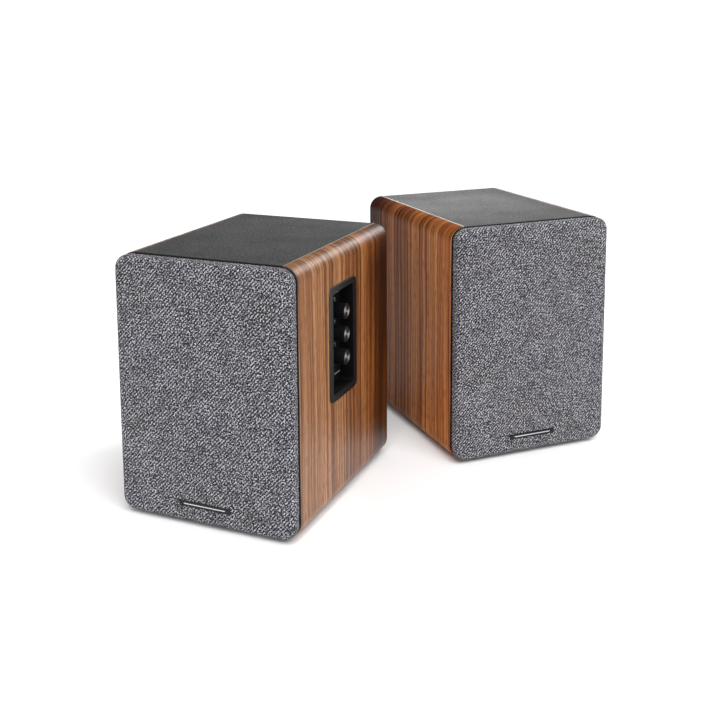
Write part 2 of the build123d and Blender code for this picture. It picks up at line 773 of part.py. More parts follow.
def clip_lever(centre, surface, side):
    """Lever on a pin at its top; pressing its lower end in opens the wire hole."""
    x = centre[0] + side * CLIP_PITCH / 2
    z = centre[1]
    with BuildPart() as lever:
        with BuildSketch(Plane.YZ.offset(x - 6)):
            with BuildLine():
                Polyline((surface - 2.8, z + 9.8), (surface + 0.6, z + 9.8),
                         (surface + 6.5, z - 0.5), (surface + 6.5, z - 3.5),
                         (surface + 3, z - 3.5), (surface - 2.8, z + 6), close=True)
            make_face()
        extrude(amount=12)
        fillet(lever.faces().sort_by(Axis.Y)[-1].edges().filter_by(Axis.X), 1)
        with BuildSketch(Plane.YZ.offset(x - 7)):
            with Locations((surface - 1, z + 8)):
                Circle(1.25)
        extrude(amount=14)
    return lever.part


def crossover_board():
    """Passive filter behind the clips: board, coil and two capacitors."""
    board_y = REAR - DECK - 8
    x, z = PASSIVE_CLIPS
    with BuildPart() as board:
        with BuildSketch(rear_plane(x, z, board_y)):
            Rectangle(76, 66)
        extrude(amount=BOARD_T)
        with BuildSketch(rear_plane(x, z, board_y)):
            with GridLocations(66, 56, 2, 2):
                Circle(2.5)
        extrude(amount=8)
        with BuildSketch(rear_plane(x - 18, z, board_y)):
            Circle(15)
            Circle(6, mode=Mode.SUBTRACT)
        extrude(amount=-14)
        with BuildSketch(rear_plane(x + 20, z, board_y)):
            with GridLocations(0, 24, 1, 2):
                RectangleRounded(26, 12, 3)
        extrude(amount=-12)
    return board.part


# ---- both speakers ------------------------------------------------------------------

PLACES = {"active": Location((0, 0, 0)),
          "passive": Location((PASSIVE_X, PASSIVE_Y, 0), (0, 0, PASSIVE_TURN))}

nodes = {}


def add_node(name, solids):
    """Keep one node, made of one or more solids in the active speaker's frame."""
    nodes[name] = list(solids)


def add_both(name, solids):
    """One node that holds the same solids in both speakers."""
    add_node(name, [place * solid for place in PLACES.values() for solid in solids])


def add_each(name, solids):
    """The same piece in each speaker, as two nodes."""
    for speaker, place in PLACES.items():
        add_node(f"{speaker}_{name}", [place * solid for solid in solids])


for name, piece in {"side_panel_left": side_panel(-1), "top_panel": deck_panel(1),
                    "front_baffle": front_baffle(),
                    "grille_frame": grille_frame(), "grille_cloth": grille_cloth(), "badge": badge(),
                    "woofer_basket": woofer_basket(), "woofer_surround": woofer_surround(),
                    "woofer_cone": woofer_cone(), "woofer_dust_cap": woofer_dust_cap(),
                    "woofer_voice_coil": woofer_voice_coil(), "woofer_spider": woofer_spider(),
                    "tweeter_faceplate": tweeter_faceplate(), "tweeter_dome": tweeter_dome()}.items():
    add_each(name, [piece])

passive = PLACES["passive"]
add_node("active_side_panel_right", [side_panel(1, window=True)])
add_node("passive_side_panel_right", [passive * side_panel(1)])
add_node("active_rear_panel", [rear_panel(active=True)])
add_node("passive_rear_panel", [passive * rear_panel(active=False)])

add_both("bottom_panels", [deck_panel(-1)])
add_both("rubber_feet", feet().solids())
add_both("port_tubes", [port_tube()])
add_both("woofer_motors", woofer_motor())
add_both("tweeter_motors", [tweeter_motor()])
add_both("grille_sockets", grille_sockets().solids())

for control, level in KNOB_Z.items():
    add_node(f"{control}_knob", [knob(level)])
    add_node(f"{control}_shaft", [knob_shaft(level)])
add_node("control_bezel", [control_bezel()])
add_node("control_board", [control_board()])

add_node("amp_plate", [amp_plate()])
add_node("amp_board", [amp_board()])
add_node("transformer", [transformer()])
add_node("input_jacks", [input_jacks()])
add_node("mains_inlet", [mains_inlet()])
add_node("power_switch", [power_switch()])
add_node("power_rocker", [power_rocker()])
add_node("crossover_board", [passive * crossover_board()])

ACTIVE_SURFACE = REAR + PLATE_T
add_node("spring_clips", [spring_clips(ACTIVE_CLIPS, ACTIVE_SURFACE),
                          passive * spring_clips(PASSIVE_CLIPS, REAR)])
for colour, side in (("red", -1), ("black", 1)):
    add_node(f"active_clip_lever_{colour}", [clip_lever(ACTIVE_CLIPS, ACTIVE_SURFACE, side)])
    add_node(f"passive_clip_lever_{colour}", [passive * clip_lever(PASSIVE_CLIPS, REAR, side)])

front_screws = screws(front_screw_planes()).solids()
rear_screws = screws(plate_screw_planes(ACTIVE_SURFACE)
                     + clip_screw_planes(ACTIVE_CLIPS, ACTIVE_SURFACE + 2)).solids()
passive_screws = screws(clip_screw_planes(PASSIVE_CLIPS, REAR + 2)).solids()
add_node("wood_screws", [place * screw for place in PLACES.values() for screw in front_screws]
         + list(rear_screws) + [passive * screw for screw in passive_screws])

# ---- the pair's frame ---------------------------------------------------------------

boxes = [solid.bounding_box() for solids in nodes.values() for solid in solids]
middle_x = (min(box.min.X for box in boxes) + max(box.max.X for box in boxes)) / 2
middle_y = (min(box.min.Y for box in boxes) + max(box.max.Y for box in boxes)) / 2
to_pair = Location((-middle_x, -middle_y, 0))
print(f"active speaker's frame stands at {-middle_x:.4f}, {-middle_y:.4f}")

os.makedirs("parts", exist_ok=True)
for name, solids in nodes.items():
    moved = [to_pair * solid for solid in solids]
    piece = moved[0] if len(moved) == 1 else Compound(moved)
    piece.label = name
    export_step(piece, f"parts/{name}.step")
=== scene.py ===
import json
import math

import bmesh
import bpy
import numpy as np
from mathutils import Matrix, Vector, noise


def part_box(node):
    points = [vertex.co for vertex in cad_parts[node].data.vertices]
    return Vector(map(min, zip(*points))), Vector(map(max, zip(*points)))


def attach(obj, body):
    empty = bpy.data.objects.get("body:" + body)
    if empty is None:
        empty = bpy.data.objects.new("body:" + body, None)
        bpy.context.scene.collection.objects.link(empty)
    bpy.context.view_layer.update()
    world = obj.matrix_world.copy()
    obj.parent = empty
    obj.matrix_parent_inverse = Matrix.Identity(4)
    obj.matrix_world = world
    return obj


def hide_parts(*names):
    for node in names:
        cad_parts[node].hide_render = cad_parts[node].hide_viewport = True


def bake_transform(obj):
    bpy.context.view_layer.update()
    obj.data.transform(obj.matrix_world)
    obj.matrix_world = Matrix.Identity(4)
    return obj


# Looks for a pair of two-way desktop speakers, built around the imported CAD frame.
# Metres.  Each speaker has its own local frame, as in the CAD source: its cabinet's front
# lies on y = 0 and faces -y, x runs to the right seen from the front, z = 0 is the table.

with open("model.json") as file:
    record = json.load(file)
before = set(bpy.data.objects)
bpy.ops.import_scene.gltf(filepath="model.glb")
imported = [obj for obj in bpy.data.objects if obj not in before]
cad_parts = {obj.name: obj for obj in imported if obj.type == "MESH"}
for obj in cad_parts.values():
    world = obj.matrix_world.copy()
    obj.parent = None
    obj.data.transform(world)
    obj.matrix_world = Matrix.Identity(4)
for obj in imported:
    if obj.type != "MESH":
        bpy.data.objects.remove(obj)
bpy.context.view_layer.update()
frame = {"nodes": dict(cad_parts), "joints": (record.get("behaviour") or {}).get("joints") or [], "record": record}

MM = 0.001


# ---- where the two speakers stand ---------------------------------------------------

class Speaker:
    """A speaker's local frame, read from its CAD nodes and its grille's sliding axis."""

    def __init__(self, name):
        self.name = name
        joint = next(j for j in frame["joints"] if j["name"] == f"{name}_grille_pull")
        self.out = Vector(joint["axis"])
        self.back = -self.out
        self.right = self.back.cross(Vector((0, 0, 1)))
        low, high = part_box(f"{name}_top_panel")
        middle = (low + high) / 2
        points = [v.co for v in frame["nodes"][f"{name}_side_panel_left"].data.vertices]
        depths = [(p - middle).dot(self.back) for p in points]
        self.depth = max(depths) - min(depths)
        self.width = -2 * min((p - middle).dot(self.right) for p in points)
        self.foot = min(p.z for p in points)
        self.height = max(p.z for p in points) - self.foot
        self.origin = middle - self.back * self.depth / 2
        self.origin.z = 0
        self.turn = math.atan2(self.right.y, self.right.x)
        self.matrix = Matrix.Translation(self.origin) @ Matrix.Rotation(self.turn, 4, "Z")

    def node(self, name):
        return frame["nodes"][f"{self.name}_{name}"]

    def local_box(self, node):
        """Lowest and highest corner of a CAD node in this speaker's local frame."""
        back_to_local = self.matrix.inverted()
        points = np.array([back_to_local @ v.co for v in frame["nodes"][node].data.vertices])
        return Vector(points.min(0)), Vector(points.max(0))


ACTIVE = Speaker("active")
PASSIVE = Speaker("passive")
SPEAKERS = (ACTIVE, PASSIVE)


# ---- node trees ---------------------------------------------------------------------

class Paint:
    """A material whose node tree is written with short calls."""

    def __init__(self, name, roughness=0.5, metallic=0.0, **sockets):
        self.material = bpy.data.materials.new(name)
        self.material.use_nodes = True
        self.tree = self.material.node_tree
        self.tree.nodes.clear()
        self.shader = self.add("ShaderNodeBsdfPrincipled")
        output = self.add("ShaderNodeOutputMaterial")
        self.tree.links.new(self.shader.outputs[0], output.inputs[0])
        self.set("Roughness", roughness)
        self.set("Metallic", metallic)
        for socket, value in sockets.items():
            self.set(socket.replace("_", " "), value)
        self.place = self.add("ShaderNodeTexCoord").outputs["Object"]

    def add(self, kind, **settings):
        node = self.tree.nodes.new(kind)
        for key, value in settings.items():
            setattr(node, key, value)
        return node

    def plug(self, socket, value):
        """Links an output to a socket, or sets the socket to a constant."""
        if isinstance(value, bpy.types.NodeSocket):
            self.tree.links.new(value, socket)
        else:
            socket.default_value = value

    def set(self, socket, value):
        self.plug(self.shader.inputs[socket], value)

    def math(self, operation, a, b=0.0, c=0.0):
        node = self.add("ShaderNodeMath", operation=operation)
        for socket, value in zip(node.inputs, (a, b, c)):
            self.plug(socket, value)
        return node.outputs[0]

    def stretch(self, vector, scale, turn=0.0):
        """Turns coordinates about z, then scales each axis."""
        if turn:
            spin = self.add("ShaderNodeVectorRotate", rotation_type="Z_AXIS")
            self.plug(spin.inputs["Vector"], vector)
            self.plug(spin.inputs["Angle"], -turn)
            vector = spin.outputs[0]
        node = self.add("ShaderNodeVectorMath", operation="MULTIPLY")
        self.plug(node.inputs[0], vector)
        self.plug(node.inputs[1], scale)
        return node.outputs[0]

    def split(self, vector):
        node = self.add("ShaderNodeSeparateXYZ")
        self.plug(node.inputs[0], vector)
        return node.outputs

    def join(self, x, y, z):
        node = self.add("ShaderNodeCombineXYZ")
        for socket, value in zip(node.inputs, (x, y, z)):
            self.plug(socket, value)
        return node.outputs[0]

    def noise(self, vector, scale, detail=2.0, roughness=0.5):
        node = self.add("ShaderNodeTexNoise")
        self.plug(node.inputs["Vector"], vector)
        self.plug(node.inputs["Scale"], scale)
        self.plug(node.inputs["Detail"], detail)
        self.plug(node.inputs["Roughness"], roughness)
        return node.outputs["Fac"]

    def cells(self, vector, scale, feature="F1"):
        node = self.add("ShaderNodeTexVoronoi", feature=feature)
        self.plug(node.inputs["Vector"], vector)
        self.plug(node.inputs["Scale"], scale)
        return node.outputs["Distance"]

    def ramp(self, value, *stops):
        node = self.add("ShaderNodeValToRGB")
        elements = node.color_ramp.elements
        while len(elements) < len(stops):
            elements.new(0.5)
        for element, (position, colour) in zip(elements, stops):
            element.position = position
            element.color = (*colour, 1)
        self.plug(node.inputs[0], value)
        return node.outputs[0]

    def mix(self, share, a, b):
        node = self.add("ShaderNodeMix", data_type="RGBA")
        self.plug(node.inputs[0], share)
        for socket, value in zip(node.inputs[6:8], (a, b)):
            self.plug(socket, (*value, 1) if isinstance(value, tuple) else value)
        return node.outputs[2]

    def times(self, a, b):
        node = self.add("ShaderNodeMix", data_type="RGBA", blend_type="MULTIPLY")
        for socket, value in zip((node.inputs[0], *node.inputs[6:8]), (1.0, a, b)):
            self.plug(socket, value)
        return node.outputs[2]

    def bump(self, height, distance, strength=1.0):
        node = self.add("ShaderNodeBump")
        self.plug(node.inputs["Height"], height)
        self.plug(node.inputs["Distance"], distance)
        self.plug(node.inputs["Strength"], strength)
        self.set("Normal", node.outputs[0])


def scaled(value, low, high):
    """Arguments of a MULTIPLY_ADD that takes 0..1 to low..high."""
    return value, high - low, low


# ---- materials ----------------------------------------------------------------------

def depth_in(paint, speaker):
    """The object's own coordinates turned with a speaker, and the depth behind its cabinet's front."""
    local = paint.split(paint.stretch(paint.place, (1, 1, 1), speaker.turn))
    return local, paint.math("SUBTRACT", local["Y"], speaker.origin.dot(speaker.back))


FRONT_PAINT = (0.010, 0.010, 0.011)
# The passive speaker's foil is the redder and duller of the two. Tints are for its front, middle and rear, and paint
# in light and shade: lighter in front on the passive, darker behind on both.
FOIL_SHINE = {"active": 0.50, "passive": 0.04}
FOIL_TINT_PAINTED_LIGHT_AND_SHADE = {"active": ((0.83, 0.78, 0.76), (0.90, 0.86, 0.84), (0.70, 0.56, 0.42)),
             "passive": ((1.32, 0.99, 0.65), (1.05, 0.82, 0.58), (0.50, 0.34, 0.19))}
# Painted shade: how much darker the rear upper corner is painted, where the other speaker shades it.
REAR_CORNER_SHADE = {"active": -0.42, "passive": -0.08}

# Painted sheen (paler and bluer, on the active) and painted shade (darker, on the passive) on the foil where it bends
# over the cabinet's upper edge.
FOIL_BEND_SHEEN_AND_SHADE = {"active": (0.78, 0.82, 0.92), "passive": (0.46, 0.42, 0.46)}


def walnut(speaker):
    """Straight-grained walnut foil.  The grain's lines depend on depth, and hardly on height."""
    paint = Paint(f"{speaker.name}_walnut", roughness=0.36, Specular_IOR_Level=FOIL_SHINE[speaker.name])
    local, depth = depth_in(paint, speaker)
    level = paint.math("MULTIPLY", local["Z"], 7)
    sway = paint.noise(paint.join(0, paint.math("MULTIPLY", local["Y"], 9), level), 1.0)
    waved = paint.math("ADD", depth, paint.math("MULTIPLY", paint.math("SUBTRACT", sway, 0.5), 0.008))

    def lines(width, length, detail, offset):
        """Noise drawn out into lines this wide and this long, in metres."""
        across = paint.math("DIVIDE", waved, width)
        along = paint.math("DIVIDE", local["Z"], length)
        return paint.noise(paint.join(across, offset, along), 1.0, detail)

    # Painted shade: the foil is painted lighter at the front and darker behind, with a few broad bands, darkest in
    # the rear upper corner.
    share = paint.math("DIVIDE", waved, speaker.depth)
    depth_bands_and_painted_shade = paint.ramp(share, (0.0, (0.62,) * 3), (0.30, (0.58,) * 3), (0.46, (0.54,) * 3), (0.50, (0.36,) * 3),
                       (0.53, (0.50,) * 3), (0.68, (0.48,) * 3), (0.73, (0.60,) * 3), (0.78, (0.40,) * 3),
                       (0.90, (0.32,) * 3), (1.0, (0.28,) * 3))
    # Painted shade in the rear upper corner.
    rear = paint.math("MULTIPLY", paint.ramp(share, (0.62, (0,) * 3), (1.0, (1,) * 3)),
                      paint.ramp(local["Z"], (0.09, (0,) * 3), (0.20, (1,) * 3), (0.226, (0,) * 3)))
    tone = paint.math("MULTIPLY_ADD", rear, REAR_CORNER_SHADE[speaker.name], depth_bands_and_painted_shade)
    broad = lines(0.0140, 0.90, 1.0, 5.1)
    middle = lines(0.0055, 0.60, 2.0, 11.3)
    narrow = lines(0.0026, 0.40, 2.0, 17.7)
    fine = lines(0.0011, 0.10, 1.0, 23.9)
    pores = lines(0.0005, 0.012, 1.0, 41.1)
    for layer, strength in ((broad, 0.30), (middle, 0.60), (narrow, 1.30), (fine, 0.40)):
        tone = paint.math("ADD", tone, paint.math("MULTIPLY_ADD", layer, strength, -strength / 2))
    wood = paint.ramp(tone, (0.06, (0.012, 0.003, 0.0006)), (0.26, (0.060, 0.017, 0.003)),
                      (0.44, (0.175, 0.058, 0.012)), (0.60, (0.315, 0.126, 0.036)), (0.84, (0.52, 0.27, 0.115)))
    dark_streaks = paint.ramp(lines(0.0022, 0.50, 1.0, 31.7), (0.33, (0.42, 0.36, 0.30)), (0.42, (1, 1, 1)))
    dark_pores = paint.ramp(pores, (0.34, (0.40, 0.33, 0.27)), (0.46, (1, 1, 1)))
    # The rear edge shows the bare fibreboard; the face behind the grille is painted black.
    board = paint.ramp(paint.noise(paint.place, 500.0, 3.0), (0.3, (0.12, 0.070, 0.036)), (0.7, (0.21, 0.125, 0.066)))
    colour = paint.mix(paint.math("GREATER_THAN", depth, speaker.depth - 0.0007),
                       paint.times(paint.times(wood, dark_streaks), dark_pores), board)
    # Painted light and shade along the depth, differing by speaker.
    colour = paint.times(colour, paint.ramp(share, *zip((0.05, 0.45, 0.95), FOIL_TINT_PAINTED_LIGHT_AND_SHADE[speaker.name])))
    # Painted sheen and shade on the upper bend.
    top = speaker.foot + speaker.height
    bend_sheen_and_shade = paint.ramp(local["Z"], (top - 0.015, (1, 1, 1)), (top - 0.003, FOIL_BEND_SHEEN_AND_SHADE[speaker.name]))
    colour = paint.times(colour, bend_sheen_and_shade)
    paint.set("Base Color", paint.mix(paint.math("LESS_THAN", depth, 0.0002), colour, FRONT_PAINT))
    paint.set("Roughness", paint.math("MULTIPLY_ADD", *scaled(fine, 0.44, 0.30)))
    paint.bump(paint.math("ADD", fine, paint.math("MULTIPLY", pores, 0.8)), 0.00008)
    return paint.material


# Painted light: the passive speaker's vinyl is painted lighter than the active's, for the light on its top.
VINYL_PAINTED_LIGHT = {"active": 1.0, "passive": 1.3}


def vinyl(speaker):
    """Charcoal vinyl with a fine pebbled leather grain, and plain black paint on the panel's two ends."""
    paint = Paint(f"{speaker.name}_vinyl", roughness=0.60, Specular_IOR_Level=0.14)
    _, depth = depth_in(paint, speaker)
    pebbles = paint.cells(paint.place, 900.0, "SMOOTH_F1")
    cracks = paint.noise(paint.place, 420.0, 3.0)
    cloudy = paint.noise(paint.place, 22.0, 3.0)
    grain = paint.math("MULTIPLY_ADD", cloudy, 0.3, paint.math("MULTIPLY", cracks, 0.5))
    grain = paint.math("MULTIPLY_ADD", pebbles, 0.6, grain)
    # Painted light on the passive's top: its leather tones are scaled up.
    share = VINYL_PAINTED_LIGHT[speaker.name]
    leather = paint.ramp(grain, (0.40, (0.010 * share,) * 3), (0.78, (0.079 * share,) * 3))
    middle = speaker.depth / 2
    end = paint.math("GREATER_THAN", paint.math("ABSOLUTE", paint.math("SUBTRACT", depth, middle)), middle - 0.0020)
    paint.set("Base Color", paint.mix(end, leather, FRONT_PAINT))
    paint.set("Roughness", paint.math("MULTIPLY_ADD", *scaled(cracks, 0.50, 0.70)))
    paint.bump(paint.math("SUBTRACT", cracks, pebbles), 0.00045, 1.0)
    return paint.material


WARP_PITCH = 0.00082
WEFT_PITCH = 0.00089


def twill():
    """Two-by-two twill of light warp and dark weft heather yarns, drawn from the cloth's own flat coordinates."""
    paint = Paint("heather_twill", roughness=0.9, Sheen_Weight=0.08, Sheen_Roughness=0.5, Specular_IOR_Level=0.15)
    flat = paint.add("ShaderNodeAttribute", attribute_name="flat").outputs["Vector"]
    wander = paint.noise(flat, 160.0, 1.0)
    slub = paint.noise(flat, 760.0, 1.0)
    cloud = paint.noise(flat, 45.0, 3.0)
    tint = paint.noise(flat, 18.0, 1.0)
    flat = paint.stretch(flat, (1 / WARP_PITCH, 1 / WEFT_PITCH, 0))
    u, v, _ = paint.split(flat)
    u = paint.math("ADD", u, wander)
    v = paint.math("ADD", v, wander)
    column = paint.math("FLOOR", u)
    row = paint.math("FLOOR", v)
    across = paint.math("FRACT", u)
    along = paint.math("FRACT", v)
    step = paint.math("FLOORED_MODULO", paint.math("SUBTRACT", column, row), 4.0)
    warp_up = paint.math("LESS_THAN", step, 1.5)

    def arch(value):
        """0 at 0 and 1, 1 in the middle."""
        return paint.math("MULTIPLY", paint.math("MULTIPLY", value, paint.math("SUBTRACT", 1.0, value)), 4.0)

    def crown(cross, progress):
        """Height of a yarn, rounded across and along its float."""
        return paint.math("MULTIPLY", arch(cross), paint.math("MULTIPLY_ADD", arch(progress), 0.55, 0.45))

    def choose(when_weft, when_warp):
        share = paint.math("MULTIPLY", when_warp, warp_up)
        return paint.math("ADD", share, paint.math("MULTIPLY", when_weft, paint.math("SUBTRACT", 1.0, warp_up)))

    warp_progress = paint.math("MULTIPLY", paint.math("SUBTRACT", paint.math("ADD", along, 1.0), step), 0.5)
    weft_progress = paint.math("MULTIPLY", paint.math("SUBTRACT", paint.math("ADD", across, step), 2.0), 0.5)
    height = choose(crown(along, weft_progress), crown(across, warp_progress))

    def fleck(x, y, layer):
        """Lighter and darker lengths of heather yarn."""
        return paint.noise(paint.join(x, y, layer), 1.0, 1.0)

    warp_fleck = fleck(paint.math("MULTIPLY", column, 7.31), paint.math("MULTIPLY", v, 0.5), 0.0)
    weft_fleck = fleck(paint.math("MULTIPLY", u, 0.5), paint.math("MULTIPLY", row, 5.17), 9.0)
    warp_shade = paint.math("MULTIPLY_ADD", warp_fleck, 2.3, -0.56)
    weft_shade = paint.math("MULTIPLY_ADD", weft_fleck, 2.1, -0.87)
    fibres = paint.noise(flat, 1.7, 2.0)
    shade = choose(weft_shade, warp_shade)
    shade = paint.math("ADD", shade, paint.math("MULTIPLY_ADD", fibres, 0.5, -0.25))
    shade = paint.math("ADD", shade, paint.math("MULTIPLY_ADD", slub, 3.4, -1.70))
    shade = paint.math("ADD", shade, paint.math("MULTIPLY_ADD", cloud, 0.35, -0.175))
    # Painted shade: each yarn is darkened where it dips under its neighbours, lighter on its crown.
    shade = paint.math("MULTIPLY", shade, paint.math("MULTIPLY_ADD", height, 0.55, 0.55))
    grey = paint.ramp(shade, (0.0, (0.008, 0.008, 0.009)), (0.26, (0.034, 0.033, 0.038)),
                      (0.60, (0.202, 0.199, 0.219)), (1.0, (0.69, 0.68, 0.735)))
    hue = paint.ramp(tint, (0.35, (1.0, 0.985, 0.97)), (0.50, (1, 1, 1)), (0.65, (0.97, 0.965, 1.0)))
    paint.set("Base Color", paint.times(grey, hue))
    paint.bump(paint.math("ADD", height, paint.math("MULTIPLY", fibres, 0.25)), 0.00040, 1.0)
    return paint.material


def moulded(name, colour, roughness=0.48, grain=900.0, depth=0.00003, gloss=0.3):
    """Moulded plastic or rubber with a fine spark-eroded texture."""
    paint = Paint(name, roughness=roughness, Specular_IOR_Level=gloss)
    fine = paint.noise(paint.place, grain, 2.0)
    broad = paint.noise(paint.place, 35.0, 3.0)
    dark = tuple(c * 0.8 for c in colour)
    light = tuple(min(1.0, c * 1.25) for c in colour)
    paint.set("Base Color", paint.ramp(broad, (0.3, dark), (0.7, light)))
    paint.set("Roughness", paint.math("MULTIPLY_ADD", *scaled(fine, roughness - 0.08, roughness + 0.1)))
    paint.bump(fine, depth)
    return paint.material


def bezel_plastic():
    """Black plastic, its flange painted paler towards the front and the top as painted light and darker towards the
    rear and the bottom as painted shade, its tub painted near black as painted shade.
    """
    paint = Paint("bezel_plastic", roughness=0.50, Specular_IOR_Level=0.12)
    low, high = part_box("control_bezel")
    x, y, z = paint.split(paint.place)
    fine = paint.noise(paint.place, 900.0, 2.0)
    share = paint.math("DIVIDE", paint.math("SUBTRACT", y, low.y), high.y - low.y)
    # Painted light and shade: the flange paler towards the front and the top, darker towards the rear and the bottom.
    flange_light_and_shade = paint.ramp(share, (0.0, (0.036,) * 3), (0.18, (0.026,) * 3), (0.45, (0.013,) * 3), (0.9, (0.004,) * 3))
    level = paint.math("DIVIDE", paint.math("SUBTRACT", z, low.z), high.z - low.z)
    flange_light_and_shade = paint.times(flange_light_and_shade, paint.ramp(level, (0.0, (0.35,) * 3), (0.9, (1.0,) * 3)))
    # Painted shade: the tub behind the flange's face is near black.
    paint.set("Base Color", paint.mix(paint.math("LESS_THAN", x, high.x - 0.0015), flange_light_and_shade, (0.003, 0.003, 0.0035)))
    paint.set("Roughness", paint.math("MULTIPLY_ADD", *scaled(fine, 0.42, 0.60)))
    paint.bump(fine, 0.00003)
    return paint.material


def metal(name, colour, roughness, stretch=(1, 1, 1), metallic=1.0):
    """Metal with fine drawn or cast marks, stretched along one axis where wanted."""
    paint = Paint(name, roughness=roughness, metallic=metallic)
    marks = paint.noise(paint.stretch(paint.place, stretch), 900.0, 3.0)
    stain = paint.noise(paint.place, 60.0, 3.0)
    dark = tuple(c * 0.75 for c in colour)
    paint.set("Base Color", paint.ramp(stain, (0.25, dark), (0.75, colour)))
    paint.set("Roughness", paint.math("MULTIPLY_ADD", *scaled(marks, roughness * 0.75, roughness * 1.3)))
    paint.bump(marks, 0.00003)
    return paint.material


def spun_metal():
    """Dark turned metal: circular grooves about the piece's own x axis, and two bright fans painted into its colour
    as a painted highlight.
    """
    paint = Paint("spun_metal", roughness=0.34, metallic=0.75, Anisotropic=0.6)
    tangent = paint.add("ShaderNodeTangent", direction_type="RADIAL", axis="X")
    paint.set("Tangent", tangent.outputs[0])
    _, y, z = paint.split(paint.place)
    radius = paint.math("SQRT", paint.math("ADD", paint.math("MULTIPLY", y, y), paint.math("MULTIPLY", z, z)))
    grooves = paint.math("SINE", paint.math("MULTIPLY", radius, 2 * math.pi / 0.00022))
    uneven = paint.noise(paint.join(paint.math("MULTIPLY", radius, 4000.0), 0, 0), 1.0, 2.0)
    angle = paint.math("ARCTAN2", z, y)
    # Painted highlight: two bright fans by angle about the axis, with random unevenness.
    highlight_fans = paint.math("ABSOLUTE", paint.math("COSINE", paint.math("ADD", angle, 0.45)))
    painted_highlight = paint.math("MULTIPLY_ADD", uneven, 0.16, paint.math("SUBTRACT", highlight_fans, 0.08))
    paint.set("Base Color", paint.ramp(painted_highlight, (0.52, (0.006, 0.007, 0.008)), (0.82, (0.14, 0.15, 0.16)),
                                       (1.0, (0.52, 0.55, 0.58))))
    paint.bump(paint.math("ADD", grooves, uneven), 0.00001, 0.6)
    return paint.material


def board_green():
    paint = Paint("circuit_board", roughness=0.35)
    tracks = paint.cells(paint.place, 260.0)
    paint.set("Base Color", paint.ramp(tracks, (0.25, (0.02, 0.16, 0.07)), (0.5, (0.01, 0.07, 0.035))))
    paint.bump(tracks, 0.00005)
    return paint.material


def cone_paper():
    paint = Paint("cone_paper", roughness=0.62)
    pulp = paint.noise(paint.place, 420.0, 4.0)
    paint.set("Base Color", paint.ramp(pulp, (0.3, (0.030, 0.030, 0.031)), (0.7, (0.060, 0.060, 0.062))))
    paint.bump(pulp, 0.00015, 0.7)
    return paint.material


def woven(name, dark, light):
    """Plain impregnated cloth for the spider and the tweeter's dome."""
    paint = Paint(name, roughness=0.6, Sheen_Weight=0.1)
    x, _, z = paint.split(paint.stretch(paint.place, (1400 * math.pi, 1, 1400 * math.pi)))
    threads = paint.math("MULTIPLY", paint.math("SINE", x), paint.math("SINE", z))
    paint.set("Base Color", paint.ramp(paint.math("MULTIPLY_ADD", threads, 0.5, 0.5), (0.2, dark), (0.8, light)))
    paint.bump(threads, 0.00006, 0.7)
    return paint.material


MATERIALS = {
    "twill": twill(),
    "black_board": moulded("black_fibreboard", (0.022, 0.022, 0.024), 0.62, 1400.0, 0.00008),
    "black": moulded("black_plastic", (0.014, 0.014, 0.015), 0.50),
    "bezel": bezel_plastic(),
    "knob": moulded("knob_plastic", (0.004, 0.004, 0.005), 0.45, gloss=0.1),
    "badge": moulded("badge_black", (0.008, 0.008, 0.009), 0.25, 300.0, 0.00001),
    "red": moulded("red_plastic", (0.45, 0.018, 0.015), 0.38),
    "white": moulded("white_plastic", (0.72, 0.72, 0.70), 0.38),
    "print": moulded("printed_grey", (0.26, 0.26, 0.27), 0.55),
    "rubber": moulded("moulded_rubber", (0.016, 0.016, 0.016), 0.68, 700.0, 0.00005),
    "steel": moulded("powder_coated_steel", (0.020, 0.020, 0.022), 0.52, 1200.0, 0.00009),
    "zinc": metal("zinc_steel", (0.62, 0.62, 0.64), 0.32),
    "silver": metal("badge_silver", (0.78, 0.78, 0.80), 0.24, (1, 1, 0.02)),
    "magnet": metal("magnet_steel", (0.16, 0.16, 0.17), 0.5, metallic=0.6),
    "copper": metal("copper_coil", (0.80, 0.42, 0.22), 0.28, (0.1, 1, 0.1)),
    "spun": spun_metal(),
    "board": board_green(),
    "paper": cone_paper(),
    "spider": woven("spider_cloth", (0.16, 0.09, 0.04), (0.36, 0.22, 0.10)),
    "dome": woven("dome_silk", (0.012, 0.012, 0.013), (0.040, 0.040, 0.043)),
    # The seams' edging is pale like the foil's cut edge; the passive's much paler copy is a painted highlight.
    "active_seam": moulded("active_seam_edge", (0.26, 0.19, 0.14), 0.55, 500.0, 0.00003),
    "passive_seam": moulded("passive_seam_edge", (0.62, 0.55, 0.47), 0.45, 500.0, 0.00003),
}
for speaker in SPEAKERS:
    MATERIALS[f"{speaker.name}_walnut"] = walnut(speaker)
    MATERIALS[f"{speaker.name}_vinyl"] = vinyl(speaker)


